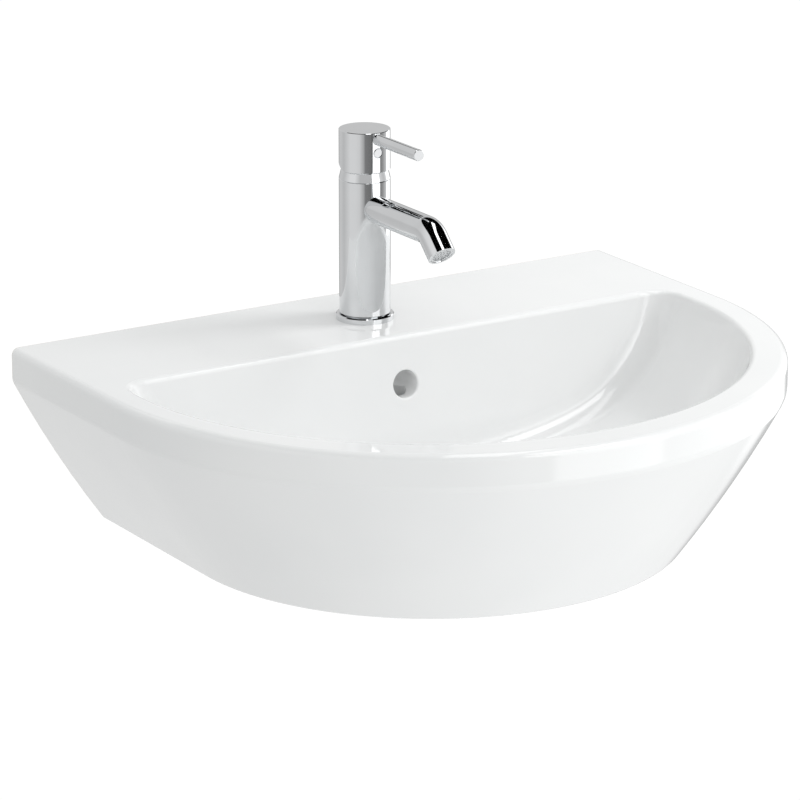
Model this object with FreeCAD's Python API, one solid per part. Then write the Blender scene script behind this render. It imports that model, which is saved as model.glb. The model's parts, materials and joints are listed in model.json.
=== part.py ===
import FreeCAD, Part
import math
import os

os.makedirs("parts", exist_ok=True)

# Wall-hung washbasin, half-round in front, with a single-lever mixer tap and a push-to-open waste.
# Millimetres. Origin: midpoint of the two wall-bolt holes on the wall plane. +Z up, -Y away from the wall.

# Basin outline
basin_width = 600.0
side_straight = 180.0          # straight side from the wall to the half-round front
rim_above_bolts = 85.0
basin_height = 165.0
band_height = 28.5             # upright band below the rim
base_half_width = 216.0
taper_bulge = 3.0              # how far the tapered wall swells out of a straight line
rim_edge_round = 6.5
band_edge_round = 12.0
base_edge_round = 4.0
ceramic_wall = 11.0
deck_thickness = 14.0

# Bowl
bowl_half_width = 273.5
bowl_centre_y = -174.0
bowl_back_y = -138.0           # back edge of the bowl at the rim
bowl_back_slope = 0.12         # how far the back wall leans forward for each unit of depth
bowl_back_round = 26.0
bowl_edge_round = 5.0
bowl_lead = 12.0               # how far the cutting form stands above the rim
drain_depth = 128.0
drain_y = -255.0
drain_seat_radius = 33.0
drain_seat_depth = 3.0
drain_hole_radius = 23.0
drain_boss_radius = 38.0
drain_boss_height = 25.0

# Way from the bowl's edge to the drain, as shares: of the depth, of the way in, of the way forward
BOWL_SHARES = [
    (0.0, 0.0, 0.0),
    (0.273, 0.071, 0.037),
    (0.484, 0.160, 0.099),
    (0.656, 0.256, 0.222),
    (0.805, 0.420, 0.395),
    (0.906, 0.655, 0.667),
    (0.969, 0.866, 0.889),
    (1.0, 1.0, 1.0),
]

# Overflow and its duct to the drain
overflow_radius = 12.0
overflow_depth = 43.0
overflow_edge_round = 1.5
duct_y = -126.0
duct_radius = 9.0
duct_low_radius = 7.5
duct_low_depth = 142.5
duct_wall = 6.0

# Back plates with the wall-bolt holes
plate_gap_half = 100.0
plate_thickness = 12.0
bolt_spacing = 280.0
bolt_hole_radius = 7.0

# Tap on the deck: heights are above the rim
tap_y = -77.0
tap_hole_radius = 17.5
tap_radius = 22.0
base_ring_radius = 25.0
base_ring_height = 5.0
base_ring_chamfer = 0.8
groove_height = 0.8            # dark line between base ring and body
body_foot_radius = 19.0
gasket_inner = 20.2
gasket_outer = 23.2
gasket_thickness = 1.5
body_top = 123.7
edge_break = 0.4               # small chamfer on visible edges

# Water ways in the tap body
inlet_x = 7.5
inlet_forward = 3.0
inlet_radius = 3.9
inlet_thread_radius = 4.6
inlet_thread_depth = 14.0
outlet_forward = 9.5
outlet_radius = 3.4

# Spout
spout_radius = 12.0
spout_bore = 9.4
spout_height = 100.0
spout_corner_forward = 105.0   # from the tap axis to where the two spout axes meet
spout_turn = 45.0
spout_bend_radius = 17.0
spout_leg = 24.5               # from that corner to the outlet face
spigot_radius = 7.0
spigot_bore = 5.0
spigot_length = 9.0
shoulder_radius = 9.5
seal_seat_depth = 4.0
seal_thickness = 1.2

# Aerator, measured inwards from the outlet face
aerator_recess = 0.4
aerator_radius = 10.2
aerator_wall = 2.2
aerator_length = 9.0
aerator_insert_recess = 1.7
aerator_insert_length = 5.0
aerator_hole_radius = 0.8
aerator_ring_step = 3.0        # from one ring of jets to the next
AERATOR_RINGS = 2              # rings round the middle jet
RING_JETS = 6                  # jets in the first ring
aerator_washer_bore = 7.4
aerator_washer_thickness = 1.6

# Mixing cartridge, stacked up from the chamber's floor
chamber_floor = 109.0
cart_radius = 17.3
cart_neck_radius = 15.5
cart_cavity_radius = 13.6
cart_base_t = 3.0
cart_flange_t = 4.0
port_seal_width = 1.5
port_seal_t = 1.0
disc_radius = 12.8
fixed_disc_t = 3.5
moving_radius = 10.4
moving_disc_t = 3.0
disc_film = 0.05
mix_pocket_t = 1.4
mix_pocket_wall = 2.2
carrier_t = 4.75
rotor_gap = 0.3
rotor_t = 6.0
rotor_lip_gap = 0.1
lip_t = 1.9
lip_radius = 9.5
pivot_below_rotor_top = 1.6
pin_radius = 1.5
pin_half_length = 11.0
ball_radius = 2.6
ball_above_carrier = 3.3
ball_gap = 0.1
neck_radius = 1.9
stem_side = 7.0
stem_top = 155.5
rotor_slot_half = 6.5
nut_radius = 18.55
nut_top_gap = 0.2
nut_notch = 4.0
nut_notches = 4

# Lever head
cover_height = 7.8
cover_top_radius = 20.3
cover_lip_t = 2.4
head_gap = 0.4
head_top = 166.8
head_wall = 3.4
head_ceiling = 146.0
head_socket_top = 156.5
head_cut_angle = 24.0
head_cut_forward = 1.5
lever_height = 161.0
lever_radius = 4.9
lever_tip_forward = 86.5
lever_spigot_radius = 3.0
lever_spigot_length = 10.0
lever_seat_depth = 1.6
index_height = 149.4
index_radius = 4.4
index_depth = 2.4
index_bevel = 0.9
grub_radius = 2.5
grub_length = 8.5

# Tap fixing below the deck
stud_back = 11.0
stud_radius = 4.0
stud_in_body = 13.0
stud_below_deck = 46.0
horseshoe_radius = 25.0
horseshoe_slot_half = 13.5
horseshoe_slot_end = 3.0
washer_t = 2.5
plate_t = 3.0
fixing_nut_flats = 13.0
fixing_nut_height = 14.0

# Basin waste, below the drain
waste_flange_radius = 31.8
waste_flange_t = 2.9
waste_tail_radius = 20.95
waste_bore = 18.0
waste_length = 76.0
trap_thread_length = 31.0      # lower stretch of the tail, for the trap
thread_relief = 3.0            # groove between the trap's thread and the nut's
thread_relief_depth = 1.2
waste_seat_radius = 27.0
waste_seat_depth = 6.0
waste_slot_width = 14.0
waste_slot_height = 10.0
waste_slots = 4
top_seal_t = 1.5
top_seal_outer = 31.0
bottom_seal_outer = 32.0
bottom_seal_t = 5.0
backnut_flats = 56.0
backnut_t = 9.5
spider_below_seat = 36.0
spider_t = 6.0
spider_hub_radius = 9.0
spider_arm = 3.0
spider_arms = 3

# Plug of the waste
plug_radius = 28.8
plug_crown = 5.2
plug_edge = 0.8
plug_lift_gap = 0.4
plug_core_radius = 16.0
plug_core_t = 3.6
plug_seal_t = 2.0
plug_seal_gap = 0.55
barrel_radius = 6.0
barrel_above_spider = 10.0
barrel_below_spider = 16.0
barrel_floor = 2.0
barrel_collar = 2.5
spindle_radius = 4.0
spindle_in_plug = 3.0
spring_space = 16.0
spring_radius = 2.9
spring_wire = 0.45
spring_turns = 5

# Clearances
fit_gap = 0.05                 # running and screwed fits
seat_gap = 0.1                 # pieces that drop into one another
overlap = 1.0                  # how far cutting forms stand past a face

# Derived places
rim = rim_above_bolts
outer_radius = basin_width / 2.0
base_z = rim - basin_height
drain_z = rim - drain_depth
waste_seat_z = drain_z - drain_seat_depth
boss_low_z = waste_seat_z - drain_boss_height
duct_low_z = rim - duct_low_depth
body_low = base_ring_height + groove_height
cart_base_top = chamber_floor + cart_base_t
flange_top = cart_base_top + cart_flange_t
moving_low = cart_base_top + fixed_disc_t + disc_film
carrier_low = moving_low + moving_disc_t
carrier_top = carrier_low + carrier_t
rotor_low = carrier_top + rotor_gap
rotor_top = rotor_low + rotor_t
lip_low = rotor_top + rotor_lip_gap
cart_top = lip_low + lip_t
pivot_h = rotor_top - pivot_below_rotor_top
ball_h = carrier_low + ball_above_carrier
cover_top = body_top + cover_height
cover_lip_low = cover_top - cover_lip_t
head_low = cover_top + head_gap
nut_top = cover_lip_low - nut_top_gap
waste_flange_low = waste_seat_z + top_seal_t
waste_flange_top = waste_flange_low + waste_flange_t
waste_low_z = waste_flange_low - waste_length
spider_low_z = waste_seat_z - spider_below_seat
spider_top_z = spider_low_z + spider_t
plug_low_z = waste_flange_top + plug_lift_gap
barrel_low_z = spider_low_z - barrel_below_spider
barrel_top_z = spider_top_z + barrel_above_spider
spindle_low_z = barrel_low_z + barrel_floor + spring_space


def vec(x, y, z):
    return FreeCAD.Vector(x, y, z)


UP = vec(0, 0, 1)
BACK = vec(0, 1, 0)
SIDE = vec(1, 0, 0)


def save(node, shape):
    """Write one sub-part."""
    shape.exportStep("parts/" + node + ".step")


def post(radius, low, high, x=0.0, y=0.0):
    """Upright cylinder between two heights."""
    return Part.makeCylinder(radius, high - low, vec(x, y, low), UP)


def rod_y(radius, front, back, z, x=0.0):
    """Cylinder along Y between two places."""
    return Part.makeCylinder(radius, back - front, vec(x, front, z), BACK)


def turned(profile, x=0.0, y=0.0):
    """Solid of revolution about the upright axis at x, y from (radius, height) points."""
    points = [vec(x + r, y, z) for r, z in profile]
    face = Part.Face(Part.makePolygon(points + points[:1]))
    return face.revolve(vec(x, y, 0), UP, 360)


def block(x0, x1, y0, y1, z0, z1):
    """Box between two corners."""
    return Part.makeBox(x1 - x0, y1 - y0, z1 - z0, vec(x0, y0, z0))


def hexagon(flats, low, high, x, y):
    """Upright hexagonal prism."""
    corner = flats / math.sqrt(3.0)
    angles = [math.radians(60.0 * k) for k in range(7)]
    points = [vec(x + corner * math.cos(a), y + corner * math.sin(a), low) for a in angles]
    return Part.Face(Part.makePolygon(points)).extrude(vec(0, 0, high - low))


def edges_at(shape, z, keep=lambda point: True):
    """Edges that lie at one height and whose middle passes a test."""
    found = []
    for edge in shape.Edges:
        middle = edge.valueAt((edge.FirstParameter + edge.LastParameter) / 2.0)
        box = edge.BoundBox
        level = abs(box.ZMin - z) < 1e-4 and abs(box.ZMax - z) < 1e-4
        if level and keep(middle):
            found.append(edge)
    return found


def edges_near(shape, centre, radius):
    """Edges that ring a place, up to the size of a circle of one radius on a slanted wall."""
    found = []
    for edge in shape.Edges:
        box = edge.BoundBox
        small = box.XLength < 2.0 * (radius + overlap) and box.ZLength < 2.0 * (radius + overlap)
        if small and (box.Center - centre).Length < overlap:
            found.append(edge)
    return found


def half_round(face):
    """Body with straight sides and a half-round front from a half section in the plane of the turn."""
    front = face.revolve(vec(0, -side_straight, 0), UP, -180)
    right = face.extrude(vec(0, side_straight, 0))
    left = right.mirror(vec(0, 0, 0), SIDE)
    return front.fuse([right, left]).removeSplitter()


def basin_section(inset, top, low):
    """Half section of the basin's outer wall, drawn in by a wall thickness."""
    lean = math.atan2(outer_radius - base_half_width, basin_height - band_height)
    slope_inset = inset / math.cos(lean)
    drop = inset * math.tan(lean / 2.0)
    band_low = vec(outer_radius - inset, -side_straight, rim - band_height - drop)
    foot = vec(base_half_width - slope_inset, -side_straight, base_z)
    chord = foot - band_low
    normal = vec(-chord.z, 0, chord.x)
    normal.normalize()
    middle = band_low + chord * 0.5 + normal * taper_bulge
    start = vec(0, -side_straight, top)
    corner = vec(outer_radius - inset, -side_straight, top)
    floor = vec(0, -side_straight, low)
    end = vec(foot.x, -side_straight, low)
    edges = [Part.makeLine(start, corner), Part.makeLine(corner, band_low)]
    edges.append(Part.Arc(band_low, middle, foot).toShape())
    if low < base_z:
        edges.append(Part.makeLine(foot, end))
    edges += [Part.makeLine(end, floor), Part.makeLine(floor, start)]
    return Part.Face(Part.Wire(edges))


def basin_outside():
    """Outer form with its rounded rim, band edge and foot."""
    form = half_round(basin_section(0.0, rim, base_z))

    def outer(point):
        return point.y < -overlap

    form = form.makeFillet(band_edge_round, edges_at(form, rim - band_height, outer))
    form = form.makeFillet(rim_edge_round, edges_at(form, rim, outer))
    return form.makeFillet(base_edge_round, edges_at(form, base_z, outer))


def bowl_form(grow):
    """Bowl as a stack of circles that shrink and move forward to the drain, cut by the leaning back wall."""
    rings = []
    way_in = bowl_half_width - drain_seat_radius
    way_forward = bowl_centre_y - drain_y
    sections = [(drain_depth * d, way_in * i, way_forward * f) for d, i, f in BOWL_SHARES]
    first = sections[1]
    lead_inset = -first[1] * bowl_lead / first[0]
    sections = [(-bowl_lead, lead_inset, 0.0)] + sections
    for number, (depth, inset, shift) in enumerate(sections):
        before = sections[max(number - 1, 0)]
        after = sections[min(number + 1, len(sections) - 1)]
        down = after[0] - before[0]
        inward = after[1] - before[1]
        length = math.hypot(down, inward)
        radius = bowl_half_width - inset + grow * down / length
        z = rim - depth - grow * inward / length
        centre = vec(0, bowl_centre_y - shift, z)
        rings.append(Part.Wire(Part.makeCircle(radius, centre, UP)))
    form = Part.makeLoft(rings, True, False)
    reach = 2.0 * basin_width
    depth_all = 2.0 * basin_height
    top_y = bowl_back_y + grow + bowl_back_slope * depth_all
    low_y = bowl_back_y + grow - bowl_back_slope * depth_all
    corners = [
        vec(-reach, top_y, rim + depth_all),
        vec(-reach, low_y, rim - depth_all),
        vec(-reach, -reach, rim - depth_all),
        vec(-reach, -reach, rim + depth_all),
    ]
    front = Part.Face(Part.makePolygon(corners + corners[:1])).extrude(vec(2.0 * reach, 0, 0))
    form = form.common(front)
    crease = []
    for edge in form.Edges:
        box = edge.BoundBox
        upright = box.ZLength > drain_depth / 2.0
        wide = box.XLength > bowl_half_width
        if upright and wide:
            crease.append(edge)
    return form.makeFillet(bowl_back_round + grow, crease)


def duct_form(grow):
    """Overflow duct: back from the overflow hole, down behind the bowl and forward to the drain."""
    high_z = rim - overflow_depth
    parts = [
        post(duct_radius + grow, duct_low_z, high_z, 0.0, duct_y),
        rod_y(duct_low_radius + grow, drain_y, duct_y, duct_low_z),
        Part.makeSphere(duct_radius + grow, vec(0, duct_y, duct_low_z)),
        Part.makeSphere(overflow_radius + grow, vec(0, duct_y, high_z)),
        rod_y(overflow_radius + grow, bowl_back_y, duct_y, high_z),
    ]
    return parts[0].fuse(parts[1:])


def basin_ceramic():
    """Glazed basin: rim, deck, bowl, skirt and hollow underside."""
    hollow = half_round(basin_section(ceramic_wall, rim - deck_thickness, base_z - overlap))
    boss = post(drain_boss_radius, boss_low_z, drain_z, 0.0, drain_y)
    keep = [bowl_form(ceramic_wall), boss, duct_form(duct_wall)]
    for hand in (-1, 1):
        near = hand * plate_gap_half
        far = hand * outer_radius
        plate = block(min(near, far), max(near, far), -plate_thickness, overlap, base_z - overlap, rim)
        keep.append(plate)
    hollow = hollow.cut(keep)
    bowl = bowl_form(0.0)
    basin = basin_outside().cut(hollow)
    basin = basin.cut(bowl)

    def bowl_edge(point):
        from_centre = math.hypot(point.x, point.y - bowl_centre_y)
        return point.y < bowl_back_y + overlap and from_centre < bowl_half_width + overlap

    basin = basin.makeFillet(bowl_edge_round, edges_at(basin, rim, bowl_edge))
    wall_y = bowl_back_y - bowl_back_slope * overflow_depth
    basin = basin.cut(rod_y(overflow_radius, wall_y - overflow_radius, duct_y, rim - overflow_depth))
    mouth = edges_near(basin, vec(0, wall_y, rim - overflow_depth), overflow_radius)
    basin = basin.makeFillet(overflow_edge_round, mouth)
    duct = duct_form(0.0).cut(post(drain_boss_radius, boss_low_z, drain_z, 0.0, drain_y - drain_boss_radius))
    holes = [
        duct,
        post(drain_seat_radius, waste_seat_z, drain_z + drain_seat_depth, 0.0, drain_y),
        post(drain_hole_radius, boss_low_z - overlap, drain_z, 0.0, drain_y),
        post(tap_hole_radius, rim - deck_thickness - overlap, rim + overlap, 0.0, tap_y),
    ]
    for hand in (-1, 1):
        x = hand * bolt_spacing / 2.0
        holes.append(rod_y(bolt_hole_radius, -plate_thickness - overlap, overlap, 0.0, x))
    return basin.cut(holes)


def base_ring():
    """Chrome ring that carries the tap body, with a recess for its gasket."""
    bore = body_foot_radius + seat_gap
    top = rim + base_ring_height
    profile = [
        (bore, rim),
        (base_ring_radius, rim),
        (base_ring_radius, top - base_ring_chamfer),
        (base_ring_radius - base_ring_chamfer, top),
        (bore, top),
    ]
    recess = post(gasket_outer, rim, rim + gasket_thickness, 0.0, tap_y)
    recess = recess.cut(post(gasket_inner, rim, rim + gasket_thickness, 0.0, tap_y))
    return turned(profile, 0.0, tap_y).cut(recess)


def base_gasket():
    """Rubber ring that fills the recess under the base ring."""
    ring = post(gasket_outer, rim, rim + gasket_thickness, 0.0, tap_y)
    return ring.cut(post(gasket_inner, rim, rim + gasket_thickness, 0.0, tap_y))


def inlet_places():
    """Plan positions of the hot and cold water ways."""
    return [(hand * inlet_x, tap_y - inlet_forward) for hand in (-1, 1)]


def port_list():
    """Water ports of the cartridge: x, y, radius."""
    ports = [(x, y, inlet_radius) for x, y in inlet_places()]
    ports.append((0.0, tap_y - outlet_forward, outlet_radius))
    return ports


def drilled(shape, low, high):
    """Cut the three water ports through a stretch of height."""
    return shape.cut([post(r, rim + low, rim + high, x, y) for x, y, r in port_list()])


def tap_body():
    """Chrome body: foot, water ways, cartridge chamber and spout socket."""
    low = rim + body_low
    top = rim + body_top
    profile = [
        (0.0, rim),
        (body_foot_radius, rim),
        (body_foot_radius, low),
        (tap_radius - edge_break, low),
        (tap_radius, low + edge_break),
        (tap_radius, top - edge_break),
        (tap_radius - edge_break, top),
        (0.0, top),
    ]
    body = turned(profile, 0.0, tap_y)
    floor = rim + chamber_floor
    step = rim + flange_top
    spout_z = rim + spout_height
    face_y = tap_y - tap_radius
    cuts = [
        post(cart_radius + seat_gap, floor, step, 0.0, tap_y),
        post(nut_radius + fit_gap, step, top + overlap, 0.0, tap_y),
        post(stud_radius + fit_gap, rim - overlap, rim + stud_in_body, 0.0, tap_y + stud_back),
        post(outlet_radius, spout_z, floor + overlap, 0.0, tap_y - outlet_forward),
        rod_y(spigot_bore, face_y, tap_y - outlet_forward, spout_z),
        rod_y(spigot_radius + fit_gap, face_y - overlap, face_y + spigot_length, spout_z),
        rod_y(shoulder_radius + fit_gap, face_y - overlap, face_y + seal_seat_depth, spout_z),
    ]
    for x, y in inlet_places():
        cuts.append(post(inlet_radius, rim - overlap, floor + overlap, x, y))
        cuts.append(post(inlet_thread_radius, rim - overlap, rim + inlet_thread_depth, x, y))
    return body.cut(cuts)


def spout_run(radius, start_y):
    """Round bar along the spout's path: forward, through the bend and down the leg."""
    z = rim + spout_height
    turn = math.radians(spout_turn)
    corner_y = tap_y - spout_corner_forward
    tangent = spout_bend_radius * math.tan(turn / 2.0)
    bend_y = corner_y + tangent
    straight = rod_y(radius, bend_y, start_y, z)
    disc = Part.Face(Part.Wire(Part.makeCircle(radius, vec(0, bend_y, z), BACK)))
    bend = disc.revolve(vec(0, bend_y, z - spout_bend_radius), SIDE, spout_turn)
    way = vec(0, -math.cos(turn), -math.sin(turn))
    leg_start = vec(0, corner_y, z) + way * tangent
    leg = Part.makeCylinder(radius, spout_leg - tangent, leg_start, way)
    return straight.fuse([bend, leg])


def at_outlet(shape):
    """Put a form that stands upright on the outlet, with +Z into the spout, where the outlet is."""
    turn = math.radians(spout_turn)
    corner = vec(0, tap_y - spout_corner_forward, rim + spout_height)
    outlet = corner + vec(0, -math.cos(turn), -math.sin(turn)) * spout_leg
    placed = shape.copy()
    placed.rotate(vec(0, 0, 0), SIDE, spout_turn - 90.0)
    placed.translate(outlet)
    return placed


def spout_tube():
    """Chrome spout: saddle and spigot at the body, bore and aerator socket."""
    face_y = tap_y - tap_radius
    z = rim + spout_height
    outside = spout_run(spout_radius, tap_y)
    outside = outside.cut(post(tap_radius + fit_gap, rim, rim + body_top, 0.0, tap_y))
    seal_front = face_y + seal_seat_depth - seal_thickness
    shoulder = rod_y(shoulder_radius, face_y - spout_radius, seal_front, z)
    spigot = rod_y(spigot_radius, face_y - spout_radius, face_y + spigot_length, z)
    outside = outside.fuse([shoulder, spigot]).removeSplitter()
    bore = spout_run(spout_bore, face_y - seal_seat_depth)
    root_bore = rod_y(spigot_bore, face_y - spout_radius, face_y + spigot_length + overlap, z)
    depth = aerator_recess + aerator_length + aerator_washer_thickness
    socket = at_outlet(post(aerator_radius + fit_gap, -overlap, depth))
    return outside.cut([bore, root_bore, socket])


def spout_seal():
    """Rubber ring between the spout's shoulder and its seat in the body."""
    back_y = tap_y - tap_radius + seal_seat_depth
    z = rim + spout_height
    ring = rod_y(shoulder_radius, back_y - seal_thickness, back_y, z)
    return ring.cut(rod_y(spigot_radius + fit_gap, back_y - seal_thickness, back_y, z))


def aerator_housing():
    """Thin ring that holds the aerator insert in the spout's mouth."""
    low = aerator_recess
    high = low + aerator_length
    inner = aerator_radius - aerator_wall
    sleeve = post(aerator_radius, low, high).cut(post(inner, low, high))
    return at_outlet(sleeve)


def aerator_insert():
    """Insert with rings of small jets."""
    low = aerator_insert_recess
    high = low + aerator_insert_length
    disc = post(aerator_radius - aerator_wall - fit_gap, low, high)
    holes = [post(aerator_hole_radius, low - overlap, high + overlap)]
    for ring in range(1, AERATOR_RINGS + 1):
        for k in range(RING_JETS * ring):
            angle = 2.0 * math.pi * k / (RING_JETS * ring)
            x = aerator_ring_step * ring * math.cos(angle)
            y = aerator_ring_step * ring * math.sin(angle)
            holes.append(post(aerator_hole_radius, low - overlap, high + overlap, x, y))
    return at_outlet(disc.cut(holes))


def aerator_washer():
    """Flat seal behind the aerator."""
    low = aerator_recess + aerator_length
    high = low + aerator_washer_thickness
    return at_outlet(post(aerator_radius, low, high).cut(post(aerator_washer_bore, low, high)))


def cartridge_base():
    """Bottom plate of the cartridge with its ports and seal grooves."""
    plate = post(cart_radius, rim + chamber_floor, rim + cart_base_top, 0.0, tap_y)
    grooves = [post(r + port_seal_width, rim + chamber_floor, rim + chamber_floor + port_seal_t, x, y)
               for x, y, r in port_list()]
    return drilled(plate.cut(grooves), chamber_floor, cart_base_top)


def cartridge_seals():
    """Rubber rings round the three ports; they meet as one moulded seal."""
    low = chamber_floor
    high = chamber_floor + port_seal_t
    rings = [post(r + port_seal_width, rim + low, rim + high, x, y) for x, y, r in port_list()]
    return drilled(rings[0].fuse(rings[1:]).removeSplitter(), low, high)


def fixed_disc():
    """Ceramic disc that stays on the base."""
    top = cart_base_top + fixed_disc_t
    return drilled(post(disc_radius, rim + cart_base_top, rim + top, 0.0, tap_y), cart_base_top, top)


def moving_disc():
    """Ceramic disc that slides and turns on the fixed one, with a mixing pocket below."""
    low = rim + moving_low
    disc = post(moving_radius, low, low + moving_disc_t, 0.0, tap_y)
    pocket = post(moving_radius - mix_pocket_wall, low, low + mix_pocket_t, 0.0, tap_y)
    return disc.cut(pocket)


def disc_carrier():
    """Plastic carrier on the moving disc, with a flared socket for the ball of the stem."""
    low = rim + carrier_low
    top = rim + carrier_top
    ball_z = rim + ball_h
    mouth = ball_radius + ball_gap + neck_radius
    socket = turned([
        (0.0, ball_z - ball_radius - ball_gap),
        (ball_radius + ball_gap, ball_z - ball_radius - ball_gap),
        (ball_radius + ball_gap, ball_z),
        (mouth, top + overlap),
        (0.0, top + overlap),
    ], 0.0, tap_y)
    return post(moving_radius, low, top, 0.0, tap_y).cut(socket)


def cartridge_housing():
    """Plastic case with a foot flange, a cavity for discs and rotor, and a retaining lip."""
    low = rim + cart_base_top
    profile = [
        (cart_cavity_radius, low),
        (cart_radius, low),
        (cart_radius, rim + flange_top),
        (cart_neck_radius, rim + flange_top),
        (cart_neck_radius, rim + cart_top),
        (lip_radius, rim + cart_top),
        (lip_radius, rim + lip_low),
        (cart_cavity_radius, rim + lip_low),
    ]
    return turned(profile, 0.0, tap_y)


def cartridge_rotor():
    """Turning guide with a slot for the stem and cross holes for its pin."""
    low = rim + rotor_low
    top = rim + rotor_top
    guide = post(cart_cavity_radius - fit_gap, low, top, 0.0, tap_y)
    half = stem_side / 2.0 + fit_gap
    slot = block(-half, half, tap_y - rotor_slot_half, tap_y + rotor_slot_half, low - overlap, top + overlap)
    return guide.cut([slot, pivot_bar(pin_radius)])


def pivot_bar(radius):
    """Cross bar through the pivot of the stem."""
    start = vec(-pin_half_length, tap_y, rim + pivot_h)
    return Part.makeCylinder(radius, 2.0 * pin_half_length, start, SIDE)


def pivot_pin():
    """Steel pin that the stem tilts on."""
    return pivot_bar(pin_radius)


def lever_stem():
    """Stem: ball in the disc carrier, neck, square shank up into the head."""
    half = stem_side / 2.0
    ball_z = rim + ball_h
    shank_low = rim + rotor_low + overlap
    ball = Part.makeSphere(ball_radius, vec(0, tap_y, ball_z))
    neck = post(neck_radius, ball_z, shank_low + overlap, 0.0, tap_y)
    shank = block(-half, half, tap_y - half, tap_y + half, shank_low, rim + stem_top)
    return shank.fuse([ball, neck]).cut(pivot_bar(pin_radius + fit_gap))


def cartridge_nut():
    """Screwed ring over the cartridge flange, with notches for a pin spanner."""
    low = rim + flange_top
    top = rim + nut_top
    ring = post(nut_radius, low, top, 0.0, tap_y)
    ring = ring.cut(post(cart_neck_radius + seat_gap, low, top, 0.0, tap_y))
    for k in range(nut_notches):
        notch = block(0.0, tap_radius, tap_y - nut_notch / 2.0, tap_y + nut_notch / 2.0, top - nut_notch, top)
        notch.rotate(vec(0, tap_y, 0), UP, 360.0 * (k + 0.5) / nut_notches)
        ring = ring.cut(notch)
    return ring


def cover_ring():
    """Chrome collar over the nut, drawn in slightly towards the head."""
    low = rim + body_top
    bore = nut_radius + seat_gap
    profile = [
        (bore, low),
        (tap_radius - edge_break, low),
        (tap_radius, low + edge_break),
        (cover_top_radius, rim + cover_top - edge_break),
        (cover_top_radius - edge_break, rim + cover_top),
        (cart_neck_radius + seat_gap, rim + cover_top),
        (cart_neck_radius + seat_gap, rim + cover_lip_low),
        (bore, rim + cover_lip_low),
    ]
    return turned(profile, 0.0, tap_y)


def lever_head():
    """Chrome cap with a slanted rear edge that gives room to tilt back."""
    low = rim + head_low
    top = rim + head_top
    profile = [
        (0.0, low),
        (tap_radius - edge_break, low),
        (tap_radius, low + edge_break),
        (tap_radius, top - edge_break),
        (tap_radius - edge_break, top),
        (0.0, top),
    ]
    head = turned(profile, 0.0, tap_y)
    face_y = tap_y - tap_radius
    half = stem_side / 2.0 + fit_gap
    hinge = vec(0, tap_y - head_cut_forward, low)
    reach = 2.0 * tap_radius
    wedge = block(-reach, reach, hinge.y, hinge.y + 2.0 * reach, low - reach, low)
    wedge.rotate(hinge, SIDE, head_cut_angle)
    pin_end = face_y + lever_seat_depth + lever_spigot_length
    cuts = [
        wedge,
        post(tap_radius - head_wall, low - overlap, rim + head_ceiling, 0.0, tap_y),
        block(-half, half, tap_y - half, tap_y + half, low, rim + head_socket_top),
        rod_y(grub_radius + fit_gap, face_y, tap_y, rim + index_height),
        rod_y(index_radius + fit_gap, face_y - overlap, face_y + index_depth, rim + index_height),
        rod_y(lever_radius + seat_gap, face_y - overlap, face_y + lever_seat_depth, rim + lever_height),
        rod_y(lever_spigot_radius + fit_gap, face_y, pin_end, rim + lever_height),
    ]
    return head.cut(cuts)


def lever_pin():
    """Round lever rod with a screwed spigot in the head."""
    seat_y = tap_y - tap_radius + lever_seat_depth
    tip_y = tap_y - lever_tip_forward
    z = rim + lever_height
    rod = rod_y(lever_radius, tip_y, seat_y, z)
    rod = rod.makeChamfer(edge_break, [e for e in rod.Edges if abs(e.BoundBox.YMax - tip_y) < 1e-4])
    return rod.fuse(rod_y(lever_spigot_radius, seat_y, seat_y + lever_spigot_length, z))


def index_cap():
    """Small round plug over the grub screw's hole."""
    face_y = tap_y - tap_radius
    cap = rod_y(index_radius, face_y, face_y + index_depth, rim + index_height)
    return cap.makeChamfer(index_bevel, [e for e in cap.Edges if abs(e.BoundBox.YMax - face_y) < 1e-4])


def grub_screw():
    """Screw that clamps the head on the stem."""
    back_y = tap_y - stem_side / 2.0
    return rod_y(grub_radius, back_y - grub_length, back_y, rim + index_height)


def fixing_stud():
    """Threaded rod from the tap body down through the deck."""
    low = rim - deck_thickness - stud_below_deck
    return post(stud_radius, low, rim + stud_in_body, 0.0, tap_y + stud_back)


def horseshoe(low, high):
    """Plate round the hoses, open to the front, with a hole for the stud."""
    plate = post(horseshoe_radius, low, high, 0.0, tap_y)
    slot_front = tap_y - horseshoe_radius - overlap
    slot_back = tap_y + horseshoe_slot_end
    slot = block(-horseshoe_slot_half, horseshoe_slot_half, slot_front, slot_back, low, high)
    return plate.cut([slot, post(stud_radius + seat_gap, low, high, 0.0, tap_y + stud_back)])


def horseshoe_washer():
    """Rubber pad against the underside of the deck."""
    top = rim - deck_thickness
    return horseshoe(top - washer_t, top)


def horseshoe_plate():
    """Steel plate below the rubber pad."""
    top = rim - deck_thickness - washer_t
    return horseshoe(top - plate_t, top)


def fixing_nut():
    """Long hexagonal nut on the stud."""
    top = rim - deck_thickness - washer_t - plate_t
    low = top - fixing_nut_height
    y = tap_y + stud_back
    return hexagon(fixing_nut_flats, low, top, 0.0, y).cut(post(stud_radius + fit_gap, low, top, 0.0, y))


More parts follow.
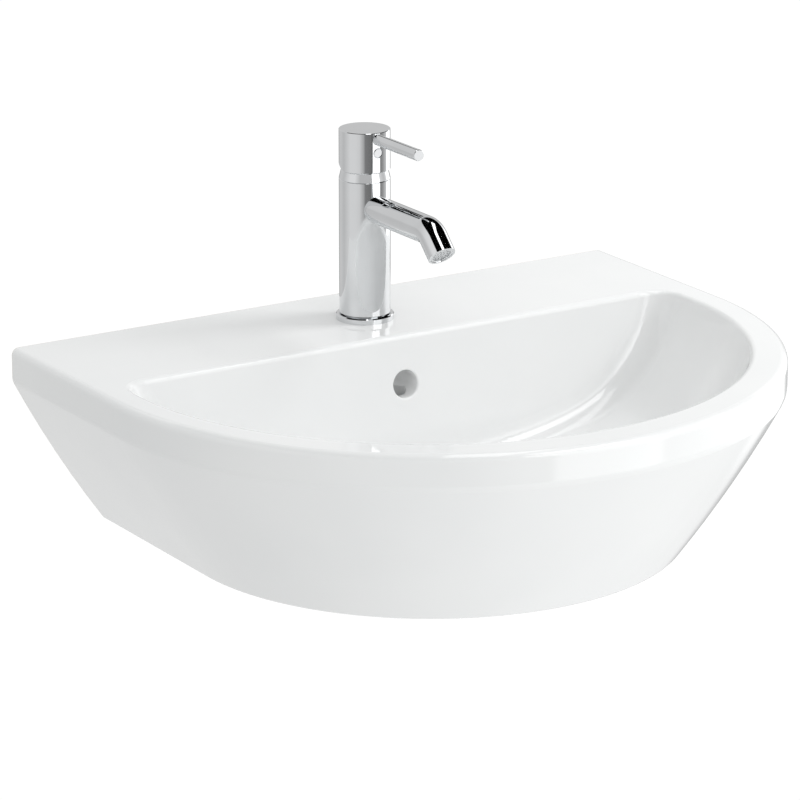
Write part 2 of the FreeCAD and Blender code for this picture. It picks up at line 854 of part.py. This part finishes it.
def waste_body():
    """Waste: flange with a conical seat, slotted tail and a spider for the plug's barrel."""
    flange_edge = waste_flange_low + waste_flange_t / 2.0
    seat_low = waste_flange_top - waste_seat_depth
    relief_low = waste_low_z + trap_thread_length
    relief_radius = waste_tail_radius - thread_relief_depth
    profile = [
        (waste_bore, waste_low_z),
        (waste_tail_radius, waste_low_z),
        (waste_tail_radius, relief_low),
        (relief_radius, relief_low),
        (relief_radius, relief_low + thread_relief),
        (waste_tail_radius, relief_low + thread_relief),
        (waste_tail_radius, waste_flange_low),
        (waste_flange_radius, waste_flange_low),
        (waste_flange_radius, flange_edge),
        (waste_flange_radius - edge_break, waste_flange_top),
        (waste_seat_radius, waste_flange_top),
        (waste_bore, seat_low),
    ]
    body = turned(profile, 0.0, drain_y)
    for k in range(waste_slots):
        slot = block(0.0, 2.0 * waste_tail_radius, -waste_slot_width / 2.0, waste_slot_width / 2.0,
                     duct_low_z - waste_slot_height / 2.0, duct_low_z + waste_slot_height / 2.0)
        slot.rotate(vec(0, 0, 0), UP, 360.0 * k / waste_slots)
        slot.translate(vec(0, drain_y, 0))
        body = body.cut(slot)
    wall_middle = (waste_bore + waste_tail_radius) / 2.0
    spider = [post(spider_hub_radius, spider_low_z, spider_top_z, 0.0, drain_y)]
    for k in range(spider_arms):
        arm = block(0.0, wall_middle, -spider_arm / 2.0, spider_arm / 2.0, spider_low_z, spider_top_z)
        arm.rotate(vec(0, 0, 0), UP, 360.0 * (k + 0.25) / spider_arms)
        arm.translate(vec(0, drain_y, 0))
        spider.append(arm)
    body = body.fuse(spider).removeSplitter()
    barrel_hole = post(barrel_radius + fit_gap, spider_low_z - overlap, spider_top_z + overlap, 0.0, drain_y)
    return body.cut(barrel_hole)


def waste_ring(inner, outer, low, high):
    """Ring on the waste's axis."""
    return post(outer, low, high, 0.0, drain_y).cut(post(inner, low, high, 0.0, drain_y))


def waste_top_seal():
    """Rubber ring between flange and ceramic seat."""
    return waste_ring(waste_tail_radius + seat_gap, top_seal_outer, waste_seat_z, waste_flange_low)


def waste_bottom_seal():
    """Rubber washer below the ceramic boss."""
    return waste_ring(waste_tail_radius + seat_gap, bottom_seal_outer, boss_low_z - bottom_seal_t, boss_low_z)


def waste_backnut():
    """Hexagonal nut on the tail."""
    top = boss_low_z - bottom_seal_t
    low = top - backnut_t
    nut = hexagon(backnut_flats, low, top, 0.0, drain_y)
    return nut.cut(post(waste_tail_radius + fit_gap, low, top, 0.0, drain_y))


def plug_cap():
    """Domed plug with a core that carries the seal and the spindle."""
    underside = plug_low_z - plug_seal_t / 2.0
    core_low = underside - plug_core_t
    edge = plug_low_z + plug_edge
    crown = plug_low_z + plug_crown
    inner = waste_seat_radius - plug_seal_t
    rise = crown - edge
    dome = (plug_radius ** 2 + rise ** 2) / (2.0 * rise)
    half_angle = math.asin(plug_radius / dome) / 2.0
    middle = vec(dome * math.sin(half_angle), drain_y, crown - dome + dome * math.cos(half_angle))
    points = [(0.0, core_low), (plug_core_radius, core_low), (plug_core_radius, underside),
              (inner, underside), (inner, plug_low_z), (plug_radius, plug_low_z), (plug_radius, edge)]
    corners = [vec(r, drain_y, z) for r, z in points]
    top = vec(0, drain_y, crown)
    edges = [Part.makeLine(a, b) for a, b in zip(corners, corners[1:])]
    edges.append(Part.Arc(corners[-1], middle, top).toShape())
    edges.append(Part.makeLine(top, corners[0]))
    cap = Part.Face(Part.Wire(edges)).revolve(vec(0, drain_y, 0), UP, 360)
    socket_top = core_low + spindle_in_plug
    return cap.cut(post(spindle_radius + fit_gap, core_low - overlap, socket_top, 0.0, drain_y))


def seat_radius_at(z):
    """Radius of the waste's conical seat at a height."""
    share = (waste_flange_top - z) / waste_seat_depth
    return waste_seat_radius + (waste_bore - waste_seat_radius) * share


def plug_seal():
    """Rubber ring on the plug's core, just clear of the conical seat."""
    top = plug_low_z - plug_seal_t / 2.0
    low = top - plug_seal_t
    inner = plug_core_radius + fit_gap
    profile = [
        (inner, low),
        (seat_radius_at(low) - plug_seal_gap, low),
        (seat_radius_at(top) - plug_seal_gap, top),
        (inner, top),
    ]
    return turned(profile, 0.0, drain_y)


def plug_barrel():
    """Closed barrel in the spider that guides the spindle and holds its spring."""
    profile = [
        (0.0, barrel_low_z),
        (barrel_radius, barrel_low_z),
        (barrel_radius, spider_top_z),
        (barrel_radius + barrel_collar, spider_top_z),
        (barrel_radius + barrel_collar, barrel_top_z),
        (spindle_radius + fit_gap, barrel_top_z),
        (spindle_radius + fit_gap, barrel_low_z + barrel_floor),
        (0.0, barrel_low_z + barrel_floor),
    ]
    return turned(profile, 0.0, drain_y)


def plug_spindle():
    """Rod between plug and barrel."""
    top = plug_low_z - plug_seal_t / 2.0 - plug_core_t + spindle_in_plug
    return post(spindle_radius, spindle_low_z, top, 0.0, drain_y)


def plug_spring():
    """Coil spring below the spindle."""
    low = barrel_low_z + barrel_floor + spring_wire
    height = spring_space - 2.0 * spring_wire
    path = Part.makeHelix(height / spring_turns, height, spring_radius)
    start = path.Edges[0].valueAt(path.Edges[0].FirstParameter)
    wire = Part.Wire(Part.makeCircle(spring_wire, start, BACK))
    coil = Part.Wire(path.Edges).makePipeShell([wire], True, True)
    coil.translate(vec(0, drain_y, low))
    return coil


PIECES = [
    basin_ceramic, base_ring, base_gasket, tap_body, spout_tube, spout_seal,
    aerator_housing, aerator_insert, aerator_washer,
    cartridge_base, cartridge_seals, fixed_disc, moving_disc, disc_carrier, cartridge_housing,
    cartridge_rotor, pivot_pin, lever_stem, cartridge_nut, cover_ring,
    lever_head, lever_pin, index_cap, grub_screw,
    fixing_stud, horseshoe_washer, horseshoe_plate, fixing_nut,
    waste_body, waste_top_seal, waste_bottom_seal, waste_backnut,
    plug_cap, plug_seal, plug_barrel, plug_spindle, plug_spring,
]

if __name__ == "__main__":
    for piece in PIECES:
        save(piece.__name__, piece())
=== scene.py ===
import json
import math

import bmesh
import bpy
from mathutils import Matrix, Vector


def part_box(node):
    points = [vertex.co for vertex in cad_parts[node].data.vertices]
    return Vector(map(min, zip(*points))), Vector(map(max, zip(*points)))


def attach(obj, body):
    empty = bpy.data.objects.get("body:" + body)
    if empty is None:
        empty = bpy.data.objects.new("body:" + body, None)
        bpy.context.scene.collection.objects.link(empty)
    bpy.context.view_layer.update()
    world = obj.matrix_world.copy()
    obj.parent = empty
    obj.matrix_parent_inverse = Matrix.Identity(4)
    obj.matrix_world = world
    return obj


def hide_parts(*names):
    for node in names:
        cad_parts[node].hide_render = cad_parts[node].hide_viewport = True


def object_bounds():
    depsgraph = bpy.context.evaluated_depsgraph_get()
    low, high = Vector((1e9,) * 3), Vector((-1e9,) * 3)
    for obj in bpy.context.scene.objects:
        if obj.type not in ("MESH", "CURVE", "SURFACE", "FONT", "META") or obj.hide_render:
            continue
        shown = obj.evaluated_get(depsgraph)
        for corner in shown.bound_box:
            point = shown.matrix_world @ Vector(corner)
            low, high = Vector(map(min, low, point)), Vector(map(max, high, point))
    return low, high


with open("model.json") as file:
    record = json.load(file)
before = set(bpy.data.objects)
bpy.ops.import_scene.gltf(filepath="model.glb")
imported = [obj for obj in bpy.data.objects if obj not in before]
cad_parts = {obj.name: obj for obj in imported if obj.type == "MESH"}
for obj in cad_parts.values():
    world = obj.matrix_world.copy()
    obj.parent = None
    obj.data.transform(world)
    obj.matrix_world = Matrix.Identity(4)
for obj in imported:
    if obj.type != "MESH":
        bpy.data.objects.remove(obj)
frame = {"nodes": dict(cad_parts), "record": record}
cad_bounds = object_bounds()
SLOTS = {row["node"]: row["material_slot"] for row in frame["record"]["subparts"]}

# Lengths are in metres unless a name says otherwise

# Camera, fitted to the photograph's 800 x 800 frame
CAMERA_PLACE = (-1.8623, -3.1117, 1.1095)
CAMERA_TARGET = (-0.06647, -0.240, 0.06428)
LENS_MM = 194.23
SENSOR_MM = 36.0

# Threads and nuts on the underside
TAP_STUD_Y = -0.066
WASTE_Y = -0.255
M8 = {"radius": 0.004, "pitch": 0.00125, "steps": 32}    # steps in one turn
G_1_1_4 = {"radius": 0.02095, "pitch": 0.002309, "steps": 72}
STUD_THREAD = (0.025, 0.084)   # lower and upper end
TAIL_THREAD = (-0.1205, -0.0895)
THREAD_DEPTH = 0.61            # this and the next three as parts of the pitch
CREST_FLAT = 0.125
ROOT_FLAT = 0.2
OVERCUT = 0.05                 # how far the cutting tool stands out of the rod
NUT_FACE = 0.96                # round face of a nut as a part of its width over the flats
NUT_BEVEL_DEGREES = 30.0
BARREL_STEPS = 96
BARREL_MARGIN = 1.01           # width of a nut's turning tool as a part of its width over the corners
BARREL_BEYOND = 0.1            # how far the tool's bevel runs inside the round face, as a part of it
WELD_DISTANCE = 1e-6
SHARP_DEGREES = 28.0

# Glaze
BARE_CLAY_Y = -0.0006          # nearer to the wall than this the clay is bare

# Floor, backdrop and key light
STUDIO_CENTRE = (0.0, -0.1, 0.1)
BALL_SEGMENTS = 96
BALL_RINGS = 48
FLOOR_DROP = 5.0               # far below the basin, so that it can be looked at from underneath too
FLOOR_SIZE = 40.0
BACKDROP_RADIUS = 28.0
SWEEP_GLOW = (0.70, 1.03)      # pale grey, and white behind the basin as the photograph shows it
SWEEP_PASSES = (2.0, 9.0)      # distances behind the basin between which grey passes into white
KEY_PLACE = (1.25, -0.55, 1.15)
KEY_SIDE = 0.6
KEY_WATTS = 10.5

# Even light: a level from all round, and more from some directions
DIRECTIONS = {
    "zenith": (0.0, 0.0, 1.0),
    "left": (-1.0, 0.0, 0.0),
    "front": (0.0, -1.0, 0.0),
    "back": (0.0, 1.0, 0.0),
    "corner": (0.50, -0.87, 0.0),
}
SKY = {"level": 0.0, "zenith": 0.84, "front": 0.78, "left": 0.09, "back": 0.57}
GROUND = {"level": 0.40, "corner": 1.42, "back": 1.2}
SKY_TINT = (0.99, 1.0, 1.0, 1.0)
HORIZON_FADE = (-0.06, 0.06)   # sines of the heights between which the ground passes into the sky

# Room that polished surfaces mirror. Brightness of its lower and upper walls by degrees
# from the camera's side, turning to the right
LOWER_WALL = [
    (-180, 0.38), (-160, 0.38), (-150, 0.66), (-128, 0.70), (-105, 0.63), (-67, 0.84), (-40, 0.83),
    (-22, 0.78), (-3, 0.47), (3, 0.25), (30, 0.20), (36, 0.10), (38, 1.7), (72, 1.7), (75, 0.25),
    (90, 0.38), (112, 0.75), (117, 1.7), (146, 1.7), (156, 0.38), (180, 0.38),
]
UPPER_WALL = [
    (-180, 0.66), (-165, 0.66), (-150, 0.76), (-100, 0.74), (-70, 0.92), (-45, 0.92), (-20, 0.60),
    (30, 0.60), (60, 0.9), (100, 0.9), (115, 1.7), (142, 1.7), (155, 0.66), (180, 0.66),
]
ROOM_RADIUS = 3.0
ROOM_BELOW = 0.80
BELOW_FADE = (-0.55, -0.42)    # sines of the heights where one zone of the room passes into the next
UPPER_FADE = (0.02, 0.20)
CEILING_FADE = (0.51, 0.55)
CEILING_LEAN = (0.29, 0.10)    # the dark ceiling comes lower on the right and on the camera's side
STRIP_SPAN = (0.06, 0.29)      # strip light on the ceiling: its sides, then its back and front ends
STRIP_ENDS = (-0.35, 0.5)
STRIP_GLOW = 2.4
# Panels: degrees from and to, sines of the heights from and to, brightness
PANELS = [
    (39, 71, 0.05, 0.52, 2.2),         # soft boxes on the right
    (39, 84, 0.61, 0.82, 4.5),
    (36, 39, 0.14, 0.29, 4.0),
    (29, 39, 0.29, 0.50, 4.0),
    (76, 112, 0.47, 0.545, 1.7),
    (-173, -160, 0.43, 0.54, 0.02),    # dark panel behind
    (62, 66, -0.21, -0.17, 1.1),       # dimmer patch that the end of the lever rod mirrors
]
PANEL_EDGE = (2.0, 0.03)       # width of a panel's soft edge, in degrees and in height


def link(obj):
    """Put an object into the scene."""
    bpy.context.scene.collection.objects.link(obj)
    return obj


class Shader:
    """A node material with one Principled shader."""

    def __init__(self, name, **sockets):
        self.material = bpy.data.materials.new(name)
        self.material.use_nodes = True
        self.tree = self.material.node_tree
        self.shader = self.tree.nodes["Principled BSDF"]
        for socket, value in sockets.items():
            self.shader.inputs[socket].default_value = value
        self.place = self.tree.nodes.new("ShaderNodeTexCoord").outputs["Object"]

    def node(self, kind, **settings):
        made = self.tree.nodes.new("ShaderNode" + kind)
        for key, value in settings.items():
            setattr(made, key, value)
        return made

    def join(self, output, socket):
        self.tree.links.new(output, socket)

    def noise(self, scale, detail=4.0, stretch=(1.0, 1.0, 1.0)):
        """Noise in the object's own space, scaled along each of its axes."""
        mapping = self.node("Mapping")
        mapping.inputs["Scale"].default_value = stretch
        self.join(self.place, mapping.inputs["Vector"])
        noise = self.node("TexNoise")
        noise.inputs["Scale"].default_value = scale
        noise.inputs["Detail"].default_value = detail
        self.join(mapping.outputs["Vector"], noise.inputs["Vector"])
        return noise.outputs["Fac"]

    def ramp(self, value, low, high, first, last):
        """Colours between two values."""
        ramp = self.node("ValToRGB")
        ramp.color_ramp.elements[0].position = low
        ramp.color_ramp.elements[0].color = (*first, 1.0)
        ramp.color_ramp.elements[1].position = high
        ramp.color_ramp.elements[1].color = (*last, 1.0)
        self.join(value, ramp.inputs["Fac"])
        return ramp.outputs["Color"]

    def spread(self, value, low, high):
        """A value from 0..1 carried to a range."""
        spread = self.node("MapRange")
        spread.inputs["To Min"].default_value = low
        spread.inputs["To Max"].default_value = high
        self.join(value, spread.inputs["Value"])
        return spread.outputs["Result"]

    def bump(self, height, depth, strength=1.0):
        bump = self.node("Bump")
        bump.inputs["Strength"].default_value = strength
        bump.inputs["Distance"].default_value = depth
        self.join(height, bump.inputs["Height"])
        self.join(bump.outputs["Normal"], self.shader.inputs["Normal"])

    def colour(self, output):
        self.join(output, self.shader.inputs["Base Color"])

    def rough(self, output):
        self.join(output, self.shader.inputs["Roughness"])


def glaze():
    """White glaze with a faint waviness, bare clay where the basin meets the wall."""
    s = Shader("glaze", IOR=1.52)
    wave = s.noise(9.0, detail=2.0)
    tone = s.ramp(wave, 0.3, 0.7, (0.86, 0.865, 0.865), (0.885, 0.888, 0.886))
    split = s.node("SeparateXYZ")
    s.join(s.place, split.inputs["Vector"])
    bare = s.node("Math", operation="GREATER_THAN")
    bare.inputs[1].default_value = BARE_CLAY_Y
    s.join(split.outputs["Y"], bare.inputs[0])
    grain = s.noise(220.0, detail=6.0)
    clay = s.ramp(grain, 0.35, 0.65, (0.70, 0.66, 0.60), (0.80, 0.77, 0.72))
    mix = s.node("MixRGB")
    s.join(bare.outputs["Value"], mix.inputs["Fac"])
    s.join(tone, mix.inputs["Color1"])
    s.join(clay, mix.inputs["Color2"])
    s.colour(mix.outputs["Color"])
    s.rough(s.spread(bare.outputs["Value"], 0.05, 0.85))
    s.bump(s.noise(28.0, detail=3.0), depth=0.00006, strength=0.5)
    return s.material


def chrome():
    """Mirror chrome with faint wipe marks."""
    s = Shader("chrome", Metallic=1.0)
    cloud = s.noise(30.0, detail=2.0)
    s.colour(s.ramp(cloud, 0.3, 0.7, (0.70, 0.71, 0.72), (0.74, 0.75, 0.76)))
    wipes = s.noise(60.0, detail=5.0, stretch=(1.0, 1.0, 0.3))
    s.rough(s.spread(wipes, 0.03, 0.07))
    return s.material


def rubber():
    """Black rubber with a fine grain."""
    s = Shader("rubber")
    s.colour(s.ramp(s.noise(400.0), 0.3, 0.7, (0.02, 0.02, 0.021), (0.045, 0.045, 0.047)))
    s.rough(s.spread(s.noise(700.0), 0.55, 0.75))
    s.bump(s.noise(1800.0, detail=3.0), depth=0.00003)
    return s.material


def plastic():
    """Moulded grey plastic."""
    s = Shader("plastic")
    s.colour(s.ramp(s.noise(120.0), 0.3, 0.7, (0.58, 0.59, 0.60), (0.66, 0.67, 0.68)))
    s.rough(s.spread(s.noise(500.0), 0.38, 0.5))
    s.bump(s.noise(2500.0, detail=2.0), depth=0.00002)
    return s.material


def disc_ceramic():
    """Lapped alumina of the cartridge's discs."""
    s = Shader("disc_ceramic")
    s.colour(s.ramp(s.noise(900.0), 0.4, 0.6, (0.82, 0.80, 0.76), (0.88, 0.87, 0.84)))
    s.rough(s.spread(s.noise(300.0), 0.18, 0.28))
    return s.material


def steel():
    """Bright steel, drawn along its length."""
    s = Shader("steel", Metallic=1.0)
    drawn = (1.0, 1.0, 0.1)
    streaks = s.noise(300.0, stretch=drawn)
    s.colour(s.ramp(streaks, 0.3, 0.7, (0.50, 0.50, 0.51), (0.60, 0.60, 0.61)))
    s.rough(s.spread(s.noise(500.0, stretch=drawn), 0.22, 0.36))
    return s.material


def brass():
    """Brass turned on a lathe."""
    s = Shader("brass", Metallic=1.0)
    s.colour(s.ramp(s.noise(150.0), 0.3, 0.7, (0.66, 0.50, 0.22), (0.74, 0.59, 0.30)))
    turned = s.noise(400.0, stretch=(0.1, 0.1, 1.0))
    s.rough(s.spread(turned, 0.2, 0.36))
    return s.material


MATERIALS = {
    "glaze": glaze(),
    "chrome": chrome(),
    "rubber": rubber(),
    "plastic": plastic(),
    "disc_ceramic": disc_ceramic(),
    "steel": steel(),
    "brass": brass(),
}


def dress_cad_nodes():
    """Give each CAD node the material of its slot."""
    for name, slot in SLOTS.items():
        node = frame["nodes"][name]
        node.data.materials.clear()
        node.data.materials.append(MATERIALS[slot])
        for polygon in node.data.polygons:
            polygon.use_smooth = True


def mesh_object(name, points, faces):
    """Object with a mesh of triangles that face outwards."""
    mesh = bpy.data.meshes.new(name)
    mesh.from_pydata(points, [], faces)
    work = bmesh.new()
    work.from_mesh(mesh)
    bmesh.ops.recalc_face_normals(work, faces=work.faces)
    bmesh.ops.triangulate(work, faces=work.faces)
    work.to_mesh(mesh)
    work.free()
    return link(bpy.data.objects.new(name, mesh))


def on_circle(radius, angle, y, z):
    """Point on a level circle round an upright axis in the middle plane."""
    return (radius * math.cos(angle), y + radius * math.sin(angle), z)


def groove(y, low, high, radius, pitch, steps):
    """Helical tool that cuts a thread's grooves into an upright rod."""
    outer = radius + OVERCUT * pitch
    inner = radius - THREAD_DEPTH * pitch
    flank = (1.0 - CREST_FLAT - ROOT_FLAT) / 2.0
    outer_half = pitch * (ROOT_FLAT / 2.0 + flank * (1.0 + OVERCUT / THREAD_DEPTH))
    inner_half = pitch * ROOT_FLAT / 2.0
    section = [(outer, -outer_half), (outer, outer_half), (inner, inner_half), (inner, -inner_half)]
    corners = len(section)
    count = round(((high - low) / pitch + 1.0) * steps)
    points = []
    for i in range(count + 1):
        angle = 2.0 * math.pi * i / steps
        middle = low + pitch * (i / steps - 1.0)
        points += [on_circle(r, angle, y, middle + up) for r, up in section]
    faces = [tuple(reversed(range(corners))), tuple(corners * count + k for k in range(corners))]
    for i in range(count):
        for k in range(corners):
            near, far = corners * i + k, corners * i + (k + 1) % corners
            faces.append((near, far, far + corners, near + corners))
    return mesh_object("groove", points, faces)


def barrel(node, y):
    """Round tool with bevelled ends that a nut's corners are turned down to."""
    low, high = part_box(node)
    face = NUT_FACE * (high.y - low.y) / 2.0
    widest = BARREL_MARGIN * (high.x - low.x) / 2.0
    slope = math.tan(math.radians(NUT_BEVEL_DEGREES))
    drop = (widest - face) * slope
    beyond = BARREL_BEYOND * face
    rings = [
        (face - beyond, low.z - beyond * slope),
        (widest, low.z + drop),
        (widest, high.z - drop),
        (face - beyond, high.z + beyond * slope),
    ]
    steps = BARREL_STEPS
    last = len(rings) - 1
    turns = [2.0 * math.pi * i / steps for i in range(steps)]
    points = [on_circle(r, angle, y, z) for r, z in rings for angle in turns]
    faces = [tuple(range(steps)), tuple(range(last * steps, (last + 1) * steps))]
    for ring in range(last):
        for i in range(steps):
            a, b = ring * steps + i, ring * steps + (i + 1) % steps
            faces.append((a, b, b + steps, a + steps))
    return mesh_object("barrel", points, faces)


def reshape(node, tool, operation):
    """Show a copy of a CAD node, cut by a tool, in the node's place."""
    mesh = frame["nodes"][node].data.copy()
    normals = mesh.attributes.get("custom_normal")
    if normals:
        mesh.attributes.remove(normals)
    work = bmesh.new()
    work.from_mesh(mesh)
    bmesh.ops.remove_doubles(work, verts=work.verts, dist=WELD_DISTANCE)
    work.to_mesh(mesh)
    work.free()
    piece = link(bpy.data.objects.new(node + "_detailed", mesh))
    cut = piece.modifiers.new("cut", "BOOLEAN")
    cut.operation = operation
    cut.solver = "EXACT"
    cut.object = tool
    graph = bpy.context.evaluated_depsgraph_get()
    done = bpy.data.meshes.new_from_object(piece.evaluated_get(graph))
    piece.modifiers.clear()
    piece.data = done
    bpy.data.objects.remove(tool)
    slot = SLOTS[node]
    done.materials.clear()
    done.materials.append(MATERIALS[slot])
    done.shade_smooth()
    done.set_sharp_from_angle(angle=math.radians(SHARP_DEGREES))
    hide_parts(node)
    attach(piece, "basin")


def underside():
    """Threads on the tap's stud and the waste's tail, bevelled corners on their nuts."""
    reshape("fixing_stud", groove(TAP_STUD_Y, *STUD_THREAD, **M8), "DIFFERENCE")
    reshape("waste_body", groove(WASTE_Y, *TAIL_THREAD, **G_1_1_4), "DIFFERENCE")
    reshape("fixing_nut", barrel("fixing_nut", TAP_STUD_Y), "INTERSECT")
    reshape("waste_backnut", barrel("waste_backnut", WASTE_Y), "INTERSECT")


def toward_camera():
    """Level direction from the basin to the photograph's camera."""
    toward = Vector(CAMERA_PLACE) - Vector(CAMERA_TARGET)
    toward.z = 0.0
    return toward.normalized()


def aim(obj, place):
    """Put a light or camera at a place, looking at the camera's target."""
    obj.location = place
    sight = Vector(CAMERA_TARGET) - Vector(place)
    obj.rotation_euler = sight.to_track_quat("-Z", "Y").to_euler()


def plane(name, size, place):
    """Flat square."""
    half = size / 2.0
    corners = [(-half, -half, 0), (half, -half, 0), (half, half, 0), (-half, half, 0)]
    mesh = bpy.data.meshes.new(name)
    mesh.from_pydata(corners, [], [(0, 1, 2, 3)])
    obj = link(bpy.data.objects.new(name, mesh))
    obj.location = place
    return obj


def ball(name, radius):
    """Sphere round the basin."""
    bpy.ops.mesh.primitive_uv_sphere_add(
        segments=BALL_SEGMENTS, ring_count=BALL_RINGS, radius=radius, location=STUDIO_CENTRE)
    bpy.context.object.name = name
    return bpy.context.object


def seen_by(obj, camera=False, glossy=False):
    """Say which rays meet a stage piece."""
    obj.visible_camera = camera
    obj.visible_glossy = glossy
    obj.visible_diffuse = False
    obj.visible_transmission = False
    obj.visible_volume_scatter = False
    obj.visible_shadow = False


def glowing(name):
    """Material that shines, and its node tree and emitter."""
    material = bpy.data.materials.new(name)
    material.use_nodes = True
    material.cycles.emission_sampling = "NONE"
    tree = material.node_tree
    tree.nodes.clear()
    glow = tree.nodes.new("ShaderNodeEmission")
    out = tree.nodes.new("ShaderNodeOutputMaterial")
    tree.links.new(glow.outputs["Emission"], out.inputs["Surface"])
    return material, tree, glow


def calculator(tree):
    """Function that adds a calculating node to a tree and returns its output."""

    def node(kind, operation, *values):
        made = tree.nodes.new("ShaderNode" + kind)
        made.operation = operation
        for socket, value in zip(made.inputs, values):
            if isinstance(value, bpy.types.NodeSocket):
                tree.links.new(value, socket)
            else:
                socket.default_value = value
        gives_number = kind == "Math" or operation == "DOT_PRODUCT"
        return made.outputs["Value" if gives_number else "Vector"]

    return node


def step_up(tree, value, low, high):
    """Smooth step from 0 to 1 between two values."""
    made = tree.nodes.new("ShaderNodeMapRange")
    made.interpolation_type = "SMOOTHSTEP"
    made.inputs["From Min"].default_value = low
    made.inputs["From Max"].default_value = high
    tree.links.new(value, made.inputs["Value"])
    return made.outputs["Result"]


def room():
    """Dome that only polished surfaces mirror: walls, panels and a dark ceiling with a strip light."""
    dome = ball("room", ROOM_RADIUS)
    material, tree, glow = glowing("room_light")
    dome.data.materials.append(material)
    node = calculator(tree)
    toward = toward_camera()
    across = Vector((-toward.y, toward.x, 0.0))
    coordinates = tree.nodes.new("ShaderNodeTexCoord")
    along = node("VectorMath", "NORMALIZE", coordinates.outputs["Object"])
    near = node("VectorMath", "DOT_PRODUCT", along, toward)
    right = node("VectorMath", "DOT_PRODUCT", along, across)
    height = node("VectorMath", "DOT_PRODUCT", along, DIRECTIONS["zenith"])
    turn = node("Math", "DEGREES", node("Math", "ARCTAN2", right, near))
    share = node("Math", "MULTIPLY_ADD", turn, 1.0 / 360.0, 0.5)

    def wall(stops):
        """Brightness all round, from stops by degrees."""
        ramp = tree.nodes.new("ShaderNodeValToRGB")
        tree.links.new(share, ramp.inputs["Fac"])
        elements = ramp.color_ramp.elements
        while len(elements) < len(stops):
            elements.new(1.0)
        for element, (degrees, bright) in zip(elements, stops):
            element.position = (degrees + 180.0) / 360.0
            element.color = (bright, bright, bright, 1.0)
        return ramp.outputs["Color"]

    def pass_over(first, second, part):
        """The first brightness where part is 0, the second where it is 1."""
        return node("Math", "MULTIPLY_ADD", node("Math", "SUBTRACT", second, first), part, first)

    def within(value, low, high, edge):
        """1 between two values and 0 outside them, with soft edges."""
        rise = step_up(tree, value, low - edge / 2.0, low + edge / 2.0)
        fall = step_up(tree, value, high - edge / 2.0, high + edge / 2.0)
        return node("Math", "SUBTRACT", rise, fall)

    turn_edge, height_edge = PANEL_EDGE
    lean_right, lean_near = CEILING_LEAN
    total = pass_over(ROOM_BELOW, wall(LOWER_WALL), step_up(tree, height, *BELOW_FADE))
    total = pass_over(total, wall(UPPER_WALL), step_up(tree, height, *UPPER_FADE))
    lit = within(right, *STRIP_SPAN, height_edge)
    lit = node("Math", "MULTIPLY", lit, within(near, *STRIP_ENDS, height_edge))
    strip = node("Math", "MULTIPLY", lit, STRIP_GLOW)
    leaning = node("Math", "MULTIPLY_ADD", right, lean_right, height)
    leaning = node("Math", "MULTIPLY_ADD", near, lean_near, leaning)
    total = pass_over(total, strip, step_up(tree, leaning, *CEILING_FADE))
    for left_side, right_side, low, high, bright in PANELS:
        aside = within(turn, left_side, right_side, turn_edge)
        panel = node("Math", "MULTIPLY", aside, within(height, low, high, height_edge))
        total = pass_over(total, bright, panel)
    tree.links.new(total, glow.inputs["Strength"])
    seen_by(dome, glossy=True)


def sky():
    """Even light from the world: a sky above the horizon and a ground below it."""
    world = bpy.data.worlds.new("studio")
    bpy.context.scene.world = world
    world.use_nodes = True
    tree = world.node_tree
    node = calculator(tree)
    along = tree.nodes.new("ShaderNodeTexCoord").outputs["Generated"]

    def part_along(way):
        return node("VectorMath", "DOT_PRODUCT", along, DIRECTIONS[way])

    def total(light):
        """Brightness of the sky or the ground by direction."""
        value = light["level"]
        for way in DIRECTIONS:
            if way in light:
                facing = node("Math", "MAXIMUM", part_along(way), 0.0)
                value = node("Math", "MULTIPLY_ADD", facing, light[way], value)
        return value

    ground, above = total(GROUND), total(SKY)
    rise = node("Math", "SUBTRACT", above, ground)
    share = step_up(tree, part_along("zenith"), *HORIZON_FADE)
    bright = node("Math", "MULTIPLY_ADD", rise, share, ground)
    back = tree.nodes["Background"]
    back.inputs["Color"].default_value = SKY_TINT
    tree.links.new(bright, back.inputs["Strength"])


def sweep():
    """Shining material of floor and backdrop: white far behind the basin, pale grey elsewhere."""
    material, tree, glow = glowing("pale_sweep")
    node = calculator(tree)
    coordinates = tree.nodes.new("ShaderNodeTexCoord")
    behind = node("VectorMath", "DOT_PRODUCT", coordinates.outputs["Object"], -toward_camera())
    grey, white = SWEEP_GLOW
    share = step_up(tree, behind, *SWEEP_PASSES)
    bright = node("Math", "MULTIPLY_ADD", share, white - grey, grey)
    tree.links.new(bright, glow.inputs["Strength"])
    return material


def studio():
    """Pale floor and backdrop, one soft key light, even light and the room for mirrors."""
    pale = sweep()
    floor = plane("floor", FLOOR_SIZE, (0, 0, cad_bounds[0][2] - FLOOR_DROP))
    backdrop = ball("backdrop", BACKDROP_RADIUS)
    for surface in (floor, backdrop):
        surface.data.materials.append(pale)
        seen_by(surface, camera=True)
    light = bpy.data.lights.new("key", "AREA")
    light.size = KEY_SIDE
    light.energy = KEY_WATTS
    key = link(bpy.data.objects.new("key", light))
    aim(key, KEY_PLACE)
    key.visible_camera = False
    key.visible_glossy = False
    sky()
    room()


def camera():
    """Camera of the photograph."""
    data = bpy.data.cameras.new("camera")
    data.sensor_fit = "HORIZONTAL"
    data.sensor_width = SENSOR_MM
    data.lens = LENS_MM
    obj = link(bpy.data.objects.new("camera", data))
    aim(obj, CAMERA_PLACE)
    bpy.context.scene.camera = obj


dress_cad_nodes()
underside()
studio()
camera()
bpy.context.scene.view_settings.view_transform = "Standard"
